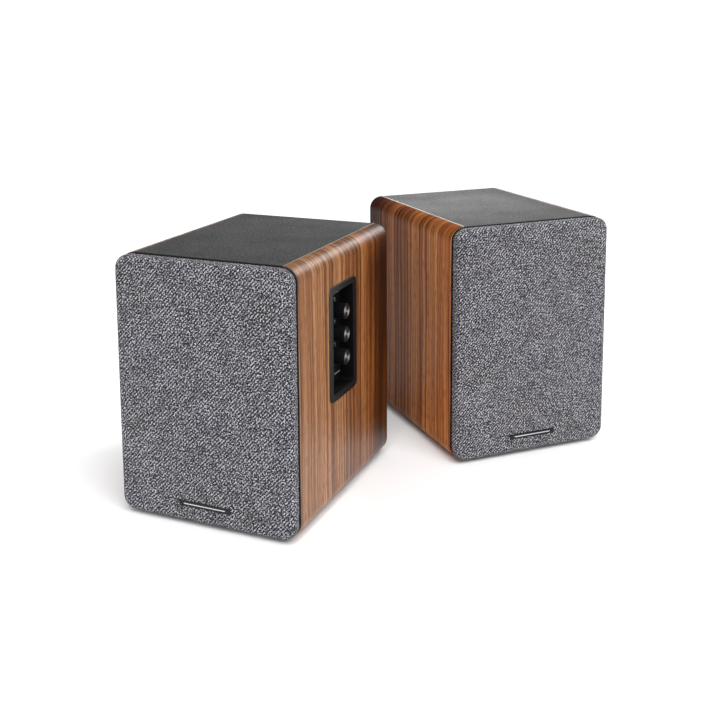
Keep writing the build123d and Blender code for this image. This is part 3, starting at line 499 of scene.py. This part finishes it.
def dress_cad_nodes():
    """Gives every CAD node its material; the ones that are replaced never show theirs."""
    shared = {"bottom_panels": "active_vinyl", "rubber_feet": "rubber", "port_tubes": "black",
              "woofer_motors": "magnet", "tweeter_motors": "magnet", "grille_sockets": "rubber",
              "control_bezel": "bezel", "volume_knob": "knob", "treble_knob": "knob", "bass_knob": "knob",
              "volume_shaft": "zinc", "treble_shaft": "zinc", "bass_shaft": "zinc",
              "control_board": "board", "amp_plate": "steel", "amp_board": "board",
              "crossover_board": "board", "transformer": "magnet", "input_jacks": "zinc",
              "mains_inlet": "black", "power_switch": "black", "power_rocker": "knob",
              "spring_clips": "black", "wood_screws": "zinc"}
    each = {"side_panel_left": "walnut", "side_panel_right": "walnut", "top_panel": "vinyl",
            "front_baffle": "black_board", "rear_panel": "black_board", "grille_frame": "black",
            "grille_cloth": "twill", "badge": "badge", "woofer_basket": "steel",
            "woofer_surround": "rubber", "woofer_cone": "paper", "woofer_dust_cap": "paper",
            "woofer_voice_coil": "copper", "woofer_spider": "spider", "tweeter_faceplate": "black",
            "tweeter_dome": "dome", "clip_lever_red": "red", "clip_lever_black": "knob"}
    chosen = dict(shared)
    for speaker in SPEAKERS:
        for node, material in each.items():
            own = material in ("walnut", "vinyl")
            chosen[f"{speaker.name}_{node}"] = f"{speaker.name}_{material}" if own else material
    for node, thing in frame["nodes"].items():
        thing.data.materials.clear()
        thing.data.materials.append(MATERIALS[chosen[node]])


# ---- mesh helpers -------------------------------------------------------------------

def finish_mesh(name, mesh, material, body, sharp=40.0):
    """Puts a bmesh that is already in the row frame into the scene as a piece riding on a body."""
    bmesh.ops.recalc_face_normals(mesh, faces=mesh.faces)
    data = bpy.data.meshes.new(name)
    mesh.to_mesh(data)
    mesh.free()
    data.shade_smooth()
    data.set_sharp_from_angle(angle=math.radians(sharp))
    piece = bpy.data.objects.new(name, data)
    bpy.context.scene.collection.objects.link(piece)
    data.materials.append(MATERIALS[material])
    if body:
        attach(piece, body)
    return piece


def turned(mesh, profile, segments, place):
    """Adds a closed profile of (radius, depth) points, turned about the local y axis, to a bmesh."""
    rings = []
    for step in range(segments):
        angle = 2 * math.pi * step / segments
        around = Vector((math.cos(angle), 0, math.sin(angle)))
        rings.append([mesh.verts.new(place @ (around * r + Vector((0, y, 0)))) for r, y in profile])
    for ring, following in zip(rings, rings[1:] + rings[:1]):
        for i in range(len(profile)):
            j = (i + 1) % len(profile)
            mesh.faces.new((ring[i], ring[j], following[j], following[i]))


def block(mesh, low, high, place, soften=0.0):
    """Adds a box with softened edges, given in a local frame, to a bmesh."""
    made = bmesh.ops.create_cube(mesh, size=1.0)["verts"]
    size = Vector(high) - Vector(low)
    middle = (Vector(low) + Vector(high)) / 2
    for vertex in made:
        vertex.co = middle + Vector(a * b for a, b in zip(vertex.co, size))
    if soften:
        edges = {edge for vertex in made for edge in vertex.link_edges}
        made = bmesh.ops.bevel(mesh, geom=list(edges), offset=soften, segments=2, affect="EDGES",
                               profile=0.5)["verts"] + [v for v in made if v.is_valid]
    for vertex in set(made):
        vertex.co = place @ vertex.co


# ---- grille cloth -------------------------------------------------------------------

CORNER_STEPS = 10
CLOTH_TURN_IN = 7 * MM


def wrap_profile(front_round, depth):
    """Steps from the grille's flat front over its rounded edge, down its side and in behind:
    (distance along the cloth, inset from the outline, depth behind the front)."""
    steps = []
    arc_steps = 8
    for i in range(arc_steps + 1):
        angle = math.pi / 2 * i / arc_steps
        steps.append((front_round * angle, front_round * (1 - math.sin(angle)), front_round * (1 - math.cos(angle))))
    reach = steps[-1][0]
    side = depth - front_round
    for share in (0.33, 0.66, 0.92):
        steps.append((reach + side * share, 0.0, front_round + side * share))
    steps.append((reach + side, 0.3 * MM, depth - 0.1 * MM))
    for share in (0.1, 0.5, 1.0):
        steps.append((reach + side + CLOTH_TURN_IN * share, 0.8 * MM + CLOTH_TURN_IN * share, depth))
    return steps


def grille_cloth(speaker):
    """Cloth stretched over the grille's frame, as one skin: flat front, rounded edge, side, turn-in."""
    low, high = speaker.local_box(f"{speaker.name}_grille_cloth")
    centre_x, centre_z = (low.x + high.x) / 2, (low.z + high.z) / 2
    half_x, half_z = (high.x - low.x) / 2, (high.z - low.z) / 2
    corner = 12.5 * MM
    front_round = 5 * MM
    core_x, core_z = half_x - corner, half_z - corner
    columns, rows = 44, 60
    mesh = bmesh.new()
    flat = mesh.verts.layers.float_vector.new("flat")

    def add(x, z, y, u, v):
        """A vertex at a place in the local frame, remembering where it lies on the flat cloth."""
        pull = noise.noise(Vector((x * 9, z * 9, speaker.turn * 5))) * 0.12 * MM
        vertex = mesh.verts.new(speaker.matrix @ Vector((centre_x + x, low.y + y + pull, centre_z + z)))
        vertex[flat] = (u, v, 0)
        return vertex

    grid = [[add(core_x * (2 * i / columns - 1), core_z * (2 * j / rows - 1), 0.0,
                 core_x * (2 * i / columns - 1), core_z * (2 * j / rows - 1))
             for i in range(columns + 1)] for j in range(rows + 1)]
    for lower, upper in zip(grid, grid[1:]):
        for i in range(columns):
            mesh.faces.new((lower[i], lower[i + 1], upper[i + 1], upper[i]))

    # The core's outline, anticlockwise, as (grid vertex, outward directions from it).
    outline = []
    quarter = math.pi / 2
    sides = [([grid[j][columns] for j in range(rows + 1)], 0.0),
             ([grid[rows][columns - i] for i in range(columns + 1)], quarter),
             ([grid[rows - j][0] for j in range(rows + 1)], 2 * quarter),
             ([grid[0][i] for i in range(columns + 1)], 3 * quarter)]
    for vertices, heading in sides:
        for index, vertex in enumerate(vertices):
            last = index == len(vertices) - 1
            turns = [heading + quarter * k / CORNER_STEPS for k in range(CORNER_STEPS)] if last else [heading]
            if index == 0:
                continue
            outline.append((vertex, turns))
    spokes = [(vertex, angle) for vertex, turns in outline for angle in turns]

    ring = [vertex for vertex, _ in spokes]
    radii = [(corner - front_round) * share for share in (0.35, 0.7)]
    steps = [(r, r, 0.0) for r in radii]
    edge = corner - front_round
    steps += [(edge + along, corner - inset, y) for along, inset, y in wrap_profile(front_round, high.y - low.y)]
    for along, radius, y in steps:
        following = []
        for vertex, angle in spokes:
            u0, v0, _ = vertex[flat]
            c, s = math.cos(angle), math.sin(angle)
            following.append(add(u0 + c * radius, v0 + s * radius, y, u0 + c * along, v0 + s * along))
        for k in range(len(spokes)):
            n = (k + 1) % len(spokes)
            corners = [ring[k], ring[n], following[n], following[k]]
            if ring[k] is ring[n]:
                corners.pop(1)
            mesh.faces.new(corners)
        ring = following

    piece = finish_mesh(f"{speaker.name}_cloth", mesh, "twill", f"{speaker.name}_grille", 60.0)
    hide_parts(f"{speaker.name}_grille_cloth")
    return piece


def badge_inlay(speaker):
    """Plain bright line let into the name bar, in place of any lettering."""
    low, high = speaker.local_box(f"{speaker.name}_badge")
    middle = (low.z + high.z) / 2
    mesh = bmesh.new()
    block(mesh, (low.x + 5 * MM, low.y - 0.05 * MM, middle - 0.5 * MM),
          (high.x - 5 * MM, low.y + 0.2 * MM, middle + 0.5 * MM), speaker.matrix, 0.1 * MM)
    return finish_mesh(f"{speaker.name}_badge_inlay", mesh, "silver", f"{speaker.name}_grille")


# How wide each seam's edging is, and how proud it stands: (left, right) of each speaker.
SEAM_EDGING = {"active": ((0.6, 0.05), (0.8, 0.45)), "passive": ((0.8, 0.8), (0.6, 0.05))}


def seam_edging(speaker):
    """Pale edging between the wooden sides and the dark panels, prouder at the seams that face each other; the
    passive's is painted paler still, as a painted highlight.
    """
    low, high = speaker.local_box(f"{speaker.name}_top_panel")
    mesh = bmesh.new()
    for level, outward in ((high.z, 1), (speaker.foot, -1)):
        for x, inward, (width, proud) in zip((low.x, high.x), (1, -1), SEAM_EDGING[speaker.name]):
            heights = sorted((level + outward * proud * MM, level - outward * 0.5 * MM))
            across = sorted((x - inward * 0.1 * MM, x + inward * (width - 0.1) * MM))
            block(mesh, (across[0], low.y + 0.4 * MM, heights[0]), (across[1], high.y - 0.4 * MM, heights[1]),
                  speaker.matrix, 0.2 * MM)
    return finish_mesh(f"{speaker.name}_seam_edging", mesh, f"{speaker.name}_seam", "cabinets")


# ---- drivers ------------------------------------------------------------------------

def radial_blend(piece, speaker, node_z):
    """Bakes the piece's placement into its mesh and works out each vertex's offset from the cone's axis, but moves
    nothing.
    """
    centre = speaker.matrix @ Vector((0, 0, node_z))
    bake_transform(piece)
    for vertex in piece.data.vertices:
        offset = vertex.co - centre
        offset -= speaker.back * offset.dot(speaker.back)


def woofer_surround(speaker):
    """Rubber half-roll with flat lips."""
    low, high = speaker.local_box(f"{speaker.name}_woofer_surround")
    z = (low.z + high.z) / 2
    outer = (high.x - low.x) / 2
    inner = outer - 14.9 * MM
    roll_out, roll_in = outer - 3.9 * MM, outer - 12.7 * MM
    middle, roll = (roll_out + roll_in) / 2, (roll_out - roll_in) / 2
    thick = 0.8 * MM
    arc = [math.pi * k / 16 for k in range(17)]
    front = [(outer, -thick), (roll_out + 0.3 * MM, -thick)]
    front += [(middle + roll * math.cos(a), -thick - (roll + 0.1 * MM) * math.sin(a)) for a in arc]
    front += [(roll_in - 0.3 * MM, -thick), (inner, -thick)]
    back = [(inner, -0.05 * MM), (roll_in + 0.3 * MM, -0.05 * MM)]
    back += [(middle - (roll - thick) * math.cos(a), -thick - (roll - thick) * math.sin(a)) for a in arc[1:-1]]
    back += [(roll_out - 0.3 * MM, -0.05 * MM), (outer, -0.05 * MM)]
    mesh = bmesh.new()
    turned(mesh, front + back, 96, speaker.matrix @ Matrix.Translation((0, 0, z)))
    piece = finish_mesh(f"{speaker.name}_surround", mesh, "rubber", None, 50.0)
    radial_blend(piece, speaker, z)
    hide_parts(f"{speaker.name}_woofer_surround")
    return piece


def woofer_spider(speaker):
    """Corrugated disc, fixed to the basket at its rim and to the voice coil at its neck."""
    low, high = speaker.local_box(f"{speaker.name}_woofer_spider")
    z = (low.z + high.z) / 2
    outer = (high.x - low.x) / 2
    inner = 13.2 * MM
    flat_from = outer - 2.4 * MM
    middle, wave, thick = 24.3 * MM, 0.9 * MM, 0.22 * MM
    steps = 84
    front, back = [], []
    for step in range(steps + 1):
        share = step / steps
        radius = inner + (flat_from - inner) * share
        depth = middle - wave * math.sin(2 * math.pi * 7 * share)
        front.append((radius, depth - thick))
        back.append((radius, depth + thick))
    front.append((outer, middle - thick))
    back.append((outer, middle + thick))
    mesh = bmesh.new()
    turned(mesh, front + back[::-1], 72, speaker.matrix @ Matrix.Translation((0, 0, z)))
    piece = finish_mesh(f"{speaker.name}_spider", mesh, "spider", None, 60.0)
    radial_blend(piece, speaker, z)
    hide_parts(f"{speaker.name}_woofer_spider")
    return piece


# ---- controls -----------------------------------------------------------------------

KNOBS = ("volume", "treble", "bass")


def knob_centre(control):
    low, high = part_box(f"{control}_knob")
    return Vector((high.x, (low.y + high.y) / 2, (low.z + high.z) / 2))


def knob_face(control):
    """Turned metal disc let into the knob's face, with raised rings and a dimple."""
    centre = knob_centre(control)
    radius = 5.95 * MM
    profile = [(0.0, -0.25), (0.10, -0.22), (0.18, -0.02), (0.30, 0.0), (0.55, 0.0), (0.58, -0.05), (0.61, 0.0),
               (0.86, 0.0), (0.90, -0.06), (0.94, 0.0), (0.98, 0.0), (1.0, -0.12)]
    segments = 64
    mesh = bmesh.new()
    tip = mesh.verts.new((profile[0][1] * MM, 0, 0))
    rings = []
    for share, height in profile[1:]:
        rings.append([mesh.verts.new((height * MM, radius * share * math.cos(2 * math.pi * k / segments),
                                      radius * share * math.sin(2 * math.pi * k / segments)))
                      for k in range(segments)])
    rings.append([mesh.verts.new((-0.45 * MM, v.co.y, v.co.z)) for v in rings[-1]])
    for k in range(segments):
        n = (k + 1) % segments
        mesh.faces.new((tip, rings[0][k], rings[0][n]))
        for inside, outside in zip(rings, rings[1:]):
            mesh.faces.new((inside[k], outside[k], outside[n], inside[n]))
    mesh.faces.new(rings[-1])
    piece = finish_mesh(f"{control}_knob_face", mesh, "spun", None, 30.0)
    piece.location = centre - Vector((0.06 * MM, 0, 0))
    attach(piece, f"{control}_control")
    return piece


def scale_marks():
    """Printed marks on the recess's floor: a bracket over each knob, and a bar above and below them all."""
    bezel_low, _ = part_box("control_bezel")
    floor = bezel_low.x + 2 * MM
    ink = 0.06 * MM
    mesh = bmesh.new()

    def bar(y, z, length, height):
        block(mesh, (floor, y, z), (floor + ink, y + length, z + height), Matrix())

    for control in KNOBS:
        centre = knob_centre(control)
        bar(centre.y + 4.8 * MM, centre.z + 8.4 * MM, 3.2 * MM, 0.8 * MM)
        bar(centre.y + 7.2 * MM, centre.z + 5.4 * MM, 0.8 * MM, 3.0 * MM)
    first, last = (knob_centre(control) for control in (KNOBS[0], KNOBS[-1]))
    bar(first.y + 5 * MM, first.z + 12.6 * MM, 12 * MM, 1.0 * MM)
    bar(last.y + 5 * MM, last.z - 20.4 * MM, 12 * MM, 1.0 * MM)
    return finish_mesh("control_scale_marks", mesh, "print", "cabinets")


# ---- rear ---------------------------------------------------------------------------

def ring_piece(name, place, profile, material):
    """A ring turned about the y axis, its section in millimetres."""
    mesh = bmesh.new()
    turned(mesh, [(r * MM, y * MM) for r, y in profile], 48, Matrix.Translation(place))
    return finish_mesh(name, mesh, material, "cabinets")


def rear_details():
    """Coloured rings of the phono sockets, the mini jack's nut, and plain marks on the plate and by the clips."""
    plate_low, plate_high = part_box("amp_plate")
    face = plate_high.y
    mounts = {m["name"]: Vector(m["pos_m"]) for m in frame["record"]["mounts"]}
    upper, lower, aux = (Vector((mounts[name].x, face, mounts[name].z))
                         for name in ("phono_jack_upper", "phono_jack_lower", "aux_jack"))
    insulator = [(4.25, 0.05), (6.6, 0.05), (6.6, 1.3), (6.2, 1.7), (4.6, 1.7), (4.25, 1.4)]
    nut = [(4.2, 0.05), (5.6, 0.05), (5.6, 1.5), (5.2, 1.9), (4.2, 1.9)]
    ring_piece("phono_ring_white", upper, insulator, "white")
    ring_piece("phono_ring_red", lower, insulator, "red")
    ring_piece("aux_jack_nut", aux, nut, "zinc")

    ink = 0.05 * MM
    half = 0.35 * MM
    mesh = bmesh.new()

    def bar(x0, x1, z0, z1):
        block(mesh, (x0, face, z0), (x1, face + ink, z1), Matrix())

    divider = plate_low.z + 62 * MM
    bar(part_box("input_jacks")[1].x + 2 * MM, plate_high.x - 6 * MM, divider, divider + half)
    for socket in (upper, lower, aux):
        bar(socket.x - 13 * MM, socket.x - 9 * MM, socket.z - half, socket.z + half)
    switch_low, switch_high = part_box("power_switch")
    middle = (switch_low.x + switch_high.x) / 2
    bar(middle - half, middle + half, switch_high.z + 1.5 * MM, switch_high.z + 4.5 * MM)
    finish_mesh("plate_marks", mesh, "print", "cabinets")

    # A plus beside each red lever's wire hole and a minus beside each black one's, on the clips' flange.
    mesh = bmesh.new()
    arm, thin = 1.1 * MM, 0.25 * MM
    for speaker in SPEAKERS:
        for colour, side in (("red", -1), ("black", 1)):
            wire = speaker.matrix.inverted() @ mounts[f"{speaker.name}_wire_{colour}"]
            surface = wire.y + 6 * MM
            x, z = wire.x + side * 5.2 * MM, wire.z
            shapes = [(arm, thin), (thin, arm)] if colour == "red" else [(arm, thin)]
            for across, up in shapes:
                block(mesh, (x - across, surface, z - up), (x + across, surface + ink, z + up), speaker.matrix)
    finish_mesh("polarity_marks", mesh, "print", "cabinets")


def rocker_marks():
    """Line and circle on the two faces of the power rocker."""
    low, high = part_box("power_rocker")
    joint = next(j for j in frame["joints"] if j["name"] == "power_rock")
    pivot = Vector(joint["pos_m"])
    tilt = math.radians(7)
    place = Matrix.Translation(pivot) @ Matrix.Rotation(tilt, 4, "X")
    mesh = bmesh.new()
    slope = math.atan2(1.7, 7.7)
    upper = place @ Matrix.Translation((0, 2.8 * MM, 4.2 * MM)) @ Matrix.Rotation(-slope, 4, "X")
    lower = place @ Matrix.Translation((0, 2.8 * MM, -4.2 * MM)) @ Matrix.Rotation(slope, 4, "X")
    block(mesh, (-0.3 * MM, 0, -1.5 * MM), (0.3 * MM, 0.1 * MM, 1.5 * MM), upper)
    turned(mesh, [(1.0 * MM, 0), (1.5 * MM, 0), (1.5 * MM, 0.1 * MM), (1.0 * MM, 0.1 * MM)], 32, lower)
    finish_mesh("rocker_marks", mesh, "white", "rocker")


# ---- stage --------------------------------------------------------------------------

def floor():
    mesh = bmesh.new()
    bmesh.ops.create_circle(mesh, cap_ends=True, radius=30, segments=96)
    data = bpy.data.meshes.new("floor")
    mesh.to_mesh(data)
    mesh.free()
    thing = bpy.data.objects.new("floor", data)
    bpy.context.scene.collection.objects.link(thing)
    paint = Paint("floor_white", roughness=0.85)
    cloudy = paint.noise(paint.place, 3.0)
    paint.set("Base Color", paint.ramp(cloudy, (0.0, (0.90, 0.90, 0.90)), (1.0, (0.93, 0.93, 0.93))))
    data.materials.append(paint.material)


def lamp(name, where, towards, size, power, spread=180.0):
    """Soft rectangular lamp.  size is (width, height) in metres and power in watts."""
    data = bpy.data.lights.new(name, "AREA")
    data.shape = "RECTANGLE"
    data.size, data.size_y = size
    data.energy = power
    data.spread = math.radians(spread)
    thing = bpy.data.objects.new(name, data)
    thing.location = where
    thing.rotation_euler = (Vector(towards) - Vector(where)).to_track_quat("-Z", "Y").to_euler()
    bpy.context.scene.collection.objects.link(thing)


def lights():
    """White studio: a big soft source in front, a plain surround, a lamp over the far speaker and a card behind."""
    world = bpy.data.worlds.new("studio")
    bpy.context.scene.world = world
    world.use_nodes = True
    tree = world.node_tree
    backdrop = tree.nodes["Background"]
    backdrop.inputs["Strength"].default_value = 1.05
    backdrop.inputs["Color"].default_value = (1, 1, 1, 1)
    # What lights the speakers is brighter in front of them than behind.
    direction = tree.nodes.new("ShaderNodeTexCoord").outputs["Generated"]
    towards = tree.nodes.new("ShaderNodeVectorMath")
    towards.operation = "DOT_PRODUCT"
    towards.inputs[1].default_value = (0.33, -0.78, 0.53)
    tree.links.new(direction, towards.inputs[0])
    level = tree.nodes.new("ShaderNodeMapRange")
    level.inputs["From Min"].default_value = -0.8
    level.inputs["From Max"].default_value = 0.8
    level.inputs["To Min"].default_value = 0.20
    level.inputs["To Max"].default_value = 0.80
    tree.links.new(towards.outputs["Value"], level.inputs["Value"])
    surround = tree.nodes.new("ShaderNodeBackground")
    surround.inputs["Color"].default_value = (0.97, 0.98, 1, 1)
    tree.links.new(level.outputs[0], surround.inputs["Strength"])
    seen = tree.nodes.new("ShaderNodeLightPath")
    choice = tree.nodes.new("ShaderNodeMixShader")
    tree.links.new(seen.outputs["Is Camera Ray"], choice.inputs[0])
    tree.links.new(surround.outputs[0], choice.inputs[1])
    tree.links.new(backdrop.outputs[0], choice.inputs[2])
    tree.links.new(choice.outputs[0], tree.nodes["World Output"].inputs[0])

    sun = bpy.data.lights.new("softbox", "SUN")
    sun.energy = 2.7
    sun.angle = math.radians(50)
    thing = bpy.data.objects.new("softbox", sun)
    thing.rotation_euler = Vector((-0.40, 0.50, -0.78)).to_track_quat("-Z", "Y").to_euler()
    bpy.context.scene.collection.objects.link(thing)

    far_top = PASSIVE.matrix @ Vector((-0.05, 0.14, PASSIVE.height))
    lamp("top_kicker", far_top + Vector((0.12, 0.12, 0.30)), far_top, (0.12, 0.12), 0.26, 55)
    near_edge = ACTIVE.matrix @ Vector((0.08, 0.10, ACTIVE.height))
    lamp("rear_card", near_edge + Vector((0.40, 1.15, 0.52)), near_edge, (0.7, 0.4), 4.4)


CAMERA_RIGHT = 0.4432           # from the active speaker's front, in its own frame
CAMERA_AHEAD = 0.7259
CAMERA_ABOVE = 0.4226           # above the underside of its cabinet
CAMERA_HEADING = 23.681         # degrees to the left
CAMERA_PITCH = 8.5              # degrees down
CAMERA_ROLL = -0.449
FOCAL_SHARE = 1039.96 / 720      # focal length over the picture's width
SHIFT_X = 0.0238
SHIFT_Y = -0.2523


def camera():
    data = bpy.data.cameras.new("camera")
    data.sensor_width = 36
    data.lens = data.sensor_width * FOCAL_SHARE
    data.shift_x = SHIFT_X
    data.shift_y = SHIFT_Y
    thing = bpy.data.objects.new("camera", data)
    where = ACTIVE.matrix @ Vector((CAMERA_RIGHT, -CAMERA_AHEAD, ACTIVE.foot + CAMERA_ABOVE))
    heading = Matrix.Rotation(math.radians(CAMERA_HEADING), 4, "Z")
    pitch = Matrix.Rotation(math.radians(90 - CAMERA_PITCH), 4, "X")
    roll = Matrix.Rotation(math.radians(CAMERA_ROLL), 4, "Z")
    thing.matrix_world = Matrix.Translation(where) @ heading @ pitch @ roll
    bpy.context.scene.collection.objects.link(thing)
    bpy.context.scene.camera = thing


# ---- the scene ----------------------------------------------------------------------

bpy.context.scene.view_settings.view_transform = "Standard"
camera()
lights()
floor()
dress_cad_nodes()
for speaker in SPEAKERS:
    grille_cloth(speaker)
    badge_inlay(speaker)
    seam_edging(speaker)
    woofer_surround(speaker)
    woofer_spider(speaker)
for control in KNOBS:
    knob_face(control)
scale_marks()
rear_details()
rocker_marks()
